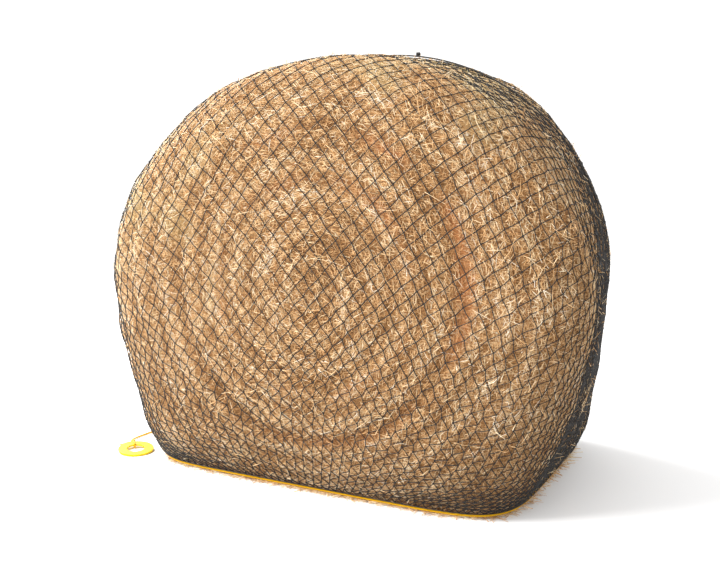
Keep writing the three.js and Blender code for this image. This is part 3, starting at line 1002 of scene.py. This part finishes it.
def net_knots(sizes):
    """Settles a tube of diamond mesh over the bale: rows x columns x 3, odd rows half a mesh over."""
    rows, columns, bar = sizes.rows, sizes.columns, sizes.mesh_bar
    row = np.arange(rows + 1)[:, None]
    column = (np.arange(columns)[None, :] + 0.5 * (row % 2)) / columns + sizes.twist * (1 - row / rows)
    hem_line = foot_path(SELVEDGE_HEIGHT, HEM_GROW - 0.002, -math.pi, math.pi, 1441)
    travelled = np.concatenate([[0], np.cumsum(np.linalg.norm(np.diff(hem_line, axis=0), axis=1))])
    places = (column % 1) * travelled[-1]
    hem = np.stack([np.interp(places, travelled, hem_line[:, k]) for k in range(3)], -1)
    middle = np.array([LEAN * (CENTRE_HEIGHT / HEIGHT - 0.5), 0, CENTRE_HEIGHT])
    low = unit(hem - middle)
    high = unit(closed_edge(column % 1, NET_GROW) - middle)
    part = (np.arange(rows + 1) / rows)[:, None, None]
    gap = np.arccos(np.clip((low * high).sum(-1), -1, 1))[..., None]
    way = (np.sin((1 - part) * gap) * low + np.sin(part * gap) * high) / np.sin(gap)
    p = onto_skin(way + middle, NET_GROW)
    fixed_top = closed_edge(column[rows] % 1, NET_GROW)
    fixed_hem = hem[0].copy()
    wander = np.array([[noise.noise(Vector((j * 0.11, i * 0.13, s))) for i in range(columns)]
                       for s in (1.5, 7.5) for j in range(rows)]).reshape(2, rows, columns)
    rest = bar * (1 + 0.05 * wander + rng.normal(0, 0.012, (2, rows, columns)))
    climb = (np.arange(1, rows + 1) / rows)[:, None] * (fixed_top[:, 2] - SELVEDGE_HEIGHT)
    lowest = SELVEDGE_HEIGHT + 0.002 + LEAST_CLIMB * climb
    for step in range(SETTLING_STEPS):
        moved, weight = np.zeros_like(p), 0.25
        for kind in (0, 1):
            upper = over_row(p, kind)
            lower = p[:-1]
            apart = upper - lower
            length = np.linalg.norm(apart, axis=-1)[..., None]
            pull = apart * np.maximum(1 - rest[kind][..., None] / length, 0) * weight
            moved[:-1] += pull
            moved[1:] -= back_row(pull, kind)
        even = np.zeros_like(p)
        even[1:-1] = (p[2:] + p[:-2]) / 2 - p[1:-1]
        even += (np.roll(p, 1, axis=1) + np.roll(p, -1, axis=1)) / 2 - p
        moved += (EVENING if step < SETTLING_STEPS * 0.8 else EVENING / 3) * even
        p += moved
        p[0], p[-1] = fixed_hem, fixed_top
        p = onto_skin(p, NET_GROW)
        p[0], p[-1] = fixed_hem, fixed_top
        p[1:, :, 2] = np.maximum(p[1:, :, 2], lowest)
    return p


def closed_edge(places, grow):
    """Points of the net's closed end, laced shut over the bale's top: the front half from left to
    right, the rear half back again."""
    across_top = 1 - np.abs(1 - 2 * places)
    angle = CLOSED_ENDS[1] + (CLOSED_ENDS[0] - CLOSED_ENDS[1]) * across_top
    directions = np.stack([np.cos(angle), np.full_like(angle, CLOSED_Y), np.sin(angle)], -1)
    reach = 1 / across(np.cos(angle), -np.sin(angle), grow)
    directions[..., 1] = CLOSED_Y / reach
    return skin(directions.reshape(-1, 3), grow).reshape(directions.shape)


def over_row(p, kind):
    """For each knot but the last row's, its neighbour in the row above, left or right."""
    upper = p[1:].copy()
    even, odd = slice(0, None, 2), slice(1, None, 2)
    if kind == 0:
        upper[even] = np.roll(p[1:][even], 1, axis=1)
    else:
        upper[odd] = np.roll(p[1:][odd], -1, axis=1)
    return upper


def back_row(pull, kind):
    """Takes each bar's pull back to the upper knot that it came from."""
    back = pull.copy()
    even, odd = slice(0, None, 2), slice(1, None, 2)
    if kind == 0:
        back[even] = np.roll(pull[even], -1, axis=1)
    else:
        back[odd] = np.roll(pull[odd], 1, axis=1)
    return back


def bar_shape():
    """A closed four-sided tube of two lengths; its corners' heights are -1, 0 and 1."""
    bm = bmesh.new()
    bmesh.ops.create_cone(bm, cap_ends=True, cap_tris=False, segments=4, radius1=1, radius2=1, depth=2)
    upright = [e for e in bm.edges if abs(e.verts[0].co.z - e.verts[1].co.z) > 1]
    bmesh.ops.subdivide_edges(bm, edges=upright, cuts=1)
    return shape_arrays(bm)


def knot_shape():
    bm = bmesh.new()
    bmesh.ops.create_uvsphere(bm, u_segments=6, v_segments=3, radius=1)
    return shape_arrays(bm)


LAID_NET = []


def laid_net():
    """The net's knots where they lie on the lumpy hay, settled once and kept."""
    if not LAID_NET:
        sizes, _ = settings()
        p = net_knots(sizes)
        raised = onto_skin(p, NET_GROW + np.maximum(relief(p), -0.004))
        raised[0], raised[-1] = p[0], p[-1]
        LAID_NET.append(raised)
    return LAID_NET[0]


def bar_finder():
    """Finds the nearest point on a net's bar."""
    p = laid_net()
    ends = [(p[:-1], over_row(p, kind)) for kind in (0, 1)]
    spots = np.concatenate([low + (high - low) * part for low, high in ends for part in (0, 0.2, 0.4, 0.6, 0.8)])
    spots = spots.reshape(-1, 3)
    finder = kdtree.KDTree(len(spots))
    for number, spot in enumerate(spots):
        finder.insert(spot, number)
    finder.balance()
    return finder


class HAYNET_OT_netting(bpy.types.Operator):
    """Ties the black diamond netting over the bale"""

    bl_idname = "haynet.netting"
    bl_label = "Knotted netting"

    def execute(self, context):
        sizes, colours = settings()
        p = laid_net()
        material = twine_material(
            "black polyethylene netting twine", colours.net_black, colours.net_sheen, 0.55, 0.0016
        )
        tube, tube_faces = bar_shape()
        ball, ball_faces = knot_shape()
        radius = sizes.twine / 2
        names = [f"netting_{number}" for number in range(1, 7)]
        centre_column = p.mean(axis=(0,))
        side = np.floor(((np.degrees(np.arctan2(centre_column[:, 1], centre_column[:, 0])) + 120) % 360) / 60)
        for number, name in enumerate(names):
            chosen = np.flatnonzero(side == number)
            corners, faces = [], []
            self.bars(p, chosen, tube, tube_faces, radius, corners, faces)
            self.knots(p, chosen, ball, ball_faces, radius, corners, faces)
            count, all_faces = 0, []
            for block, shape_faces in zip(corners, faces):
                steps = np.arange(len(block)) * block.shape[1] + count
                all_faces.append((shape_faces[None] + steps[:, None, None]).reshape(-1, 3))
                count += block.shape[0] * block.shape[1]
            points = np.concatenate([block.reshape(-1, 3) for block in corners])
            mesh = mesh_from(name, points, np.concatenate(all_faces))
            placed(name, mesh, material, BALE, ["netting"])
        return {"FINISHED"}

    def bars(self, p, chosen, tube, tube_faces, radius, corners, faces):
        for kind in (0, 1):
            low, high = p[:-1][:, chosen].reshape(-1, 3), over_row(p, kind)[:, chosen].reshape(-1, 3)
            middle = (low + high) / 2
            middle += rng.normal(0, 0.0009, middle.shape)
            way = unit(high - low)
            outward = unit(middle - [0, 0, CENTRE_HEIGHT])
            side = unit(np.cross(way, outward))
            rise = np.cross(side, way)
            three = np.stack([low, middle, high], 1)
            level = np.rint(tube[:, 2]).astype(int) + 1
            out = tube[None, :, 0:1] * side[:, None] + tube[None, :, 1:2] * rise[:, None]
            corners.append(three[:, level, :] + out * radius)
            faces.append(tube_faces)

    def knots(self, p, chosen, ball, ball_faces, radius, corners, faces):
        spots = p[:, chosen].reshape(-1, 3)
        outward = unit(spots - [0, 0, CENTRE_HEIGHT])
        upward = unit(np.array([0.0, 0.0, 1.0]) - outward * outward[:, 2:3])
        side = np.cross(upward, outward)
        size = radius * rng.uniform(1.9, 2.4, (len(spots), 1, 1))
        out = (
            ball[None, :, 0:1] * side[:, None] * 0.95
            + ball[None, :, 1:2] * upward[:, None] * 1.15
            + ball[None, :, 2:3] * outward[:, None] * 0.8
        )
        corners.append(spots[:, None] + out * size)
        faces.append(ball_faces)


class HAYNET_OT_net_edges(bpy.types.Operator):
    """Makes the mouth's selvedge, the seam's lacing and the cord that gathers the closed end"""

    bl_idname = "haynet.net_edges"
    bl_label = "Selvedge, lacing and closing cord"

    def execute(self, context):
        _, colours = settings()
        material = twine_material(
            "black braided edge cord", colours.net_black, colours.net_sheen, 0.5, 0.002
        )
        around = foot_path(SELVEDGE_HEIGHT, HEM_GROW, 0, 2 * math.pi, 201)[:-1]
        line = spline_points(around, 0.006, closed=True)
        mesh = rope("selvedge", line, 0.0014, sides=8, closed=True)
        placed("mouth_edge_twine", mesh, material, BALE, ["mouth_selvedge"])

        low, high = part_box("seam_lacing")
        z = np.linspace(low[2] + 0.004, 1.10, 60)
        start = np.stack([np.zeros(60), np.full(60, 0.5), z - 0.0], -1)
        spots = onto_skin(np.stack([LEAN * (z / HEIGHT - 0.5), np.full(60, 0.5), z], -1), 0.0)
        d = np.stack([np.zeros(60), np.full(60, HALF_LENGTH), (z - CENTRE_HEIGHT)], -1)
        seam = skin(d, NET_EDGE_GROW)
        seam[:, 0] += 0.004 * np.sin(np.arange(60) * 1.7)
        mesh = rope("lacing", spline_points(seam, 0.006), 0.0024, sides=8)
        placed("seam_lacing_twine", mesh, material, BALE, ["seam_lacing"])

        line = closed_edge(np.linspace(*LACED_SHARE, 90) / 2, NET_EDGE_GROW)
        mesh = rope("closing", spline_points(line, 0.006), 0.0024, sides=8)
        placed("closing_cord_twine", mesh, material, BALE, ["closing_cord"])

        low, high = (np.array(c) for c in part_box("closing_knot"))
        middle = (low + high) / 2
        turns = np.linspace(0, 2.5 * 2 * math.pi, 60)
        coil = middle + np.stack(
            [np.linspace(-0.0055, 0.0055, 60), 0.0048 * np.cos(turns), 0.0048 * np.sin(turns)], -1
        )
        mesh = rope("closing_knot_turns", spline_points(coil, 0.0015), 0.0028, sides=10)
        placed("closing_knot_turns", mesh, material, BALE, ["closing_knot"])
        return {"FINISHED"}


# ---- panel and registration ------------------------------------------------------------------------------

MAKING_ORDER = (
    HAYNET_OT_stage,
    HAYNET_OT_ring_tie,
    HAYNET_OT_ring,
    HAYNET_OT_lead,
    HAYNET_OT_drawcord,
    HAYNET_OT_hay_body,
    HAYNET_OT_straws,
    HAYNET_OT_netting,
    HAYNET_OT_net_edges,
)


class HAYNET_PT_panel(bpy.types.Panel):
    """Lists the hay net's sizes, colours and pieces"""

    bl_idname = "HAYNET_PT_panel"
    bl_label = "Hay Net"
    bl_space_type = "VIEW_3D"
    bl_region_type = "UI"
    bl_category = "Hay Net"

    def draw(self, context):
        for group in (context.scene.hay_net_sizes, context.scene.hay_net_colours):
            box = self.layout.box()
            for name in group.__annotations__:
                box.prop(group, name)
        for operator in MAKING_ORDER:
            self.layout.operator(operator.bl_idname)


CLASSES = (HayNetSizes, HayNetColours, *MAKING_ORDER, HAYNET_PT_panel)


def register():
    for cls in CLASSES:
        bpy.utils.register_class(cls)
    bpy.types.Scene.hay_net_sizes = PointerProperty(type=HayNetSizes)
    bpy.types.Scene.hay_net_colours = PointerProperty(type=HayNetColours)


def unregister():
    del bpy.types.Scene.hay_net_colours
    del bpy.types.Scene.hay_net_sizes
    for cls in reversed(CLASSES):
        bpy.utils.unregister_class(cls)


def main():
    register()
    for operator in MAKING_ORDER:
        group, name = operator.bl_idname.split(".")
        getattr(getattr(bpy.ops, group), name)()


if __name__ == "__main__":
    main()
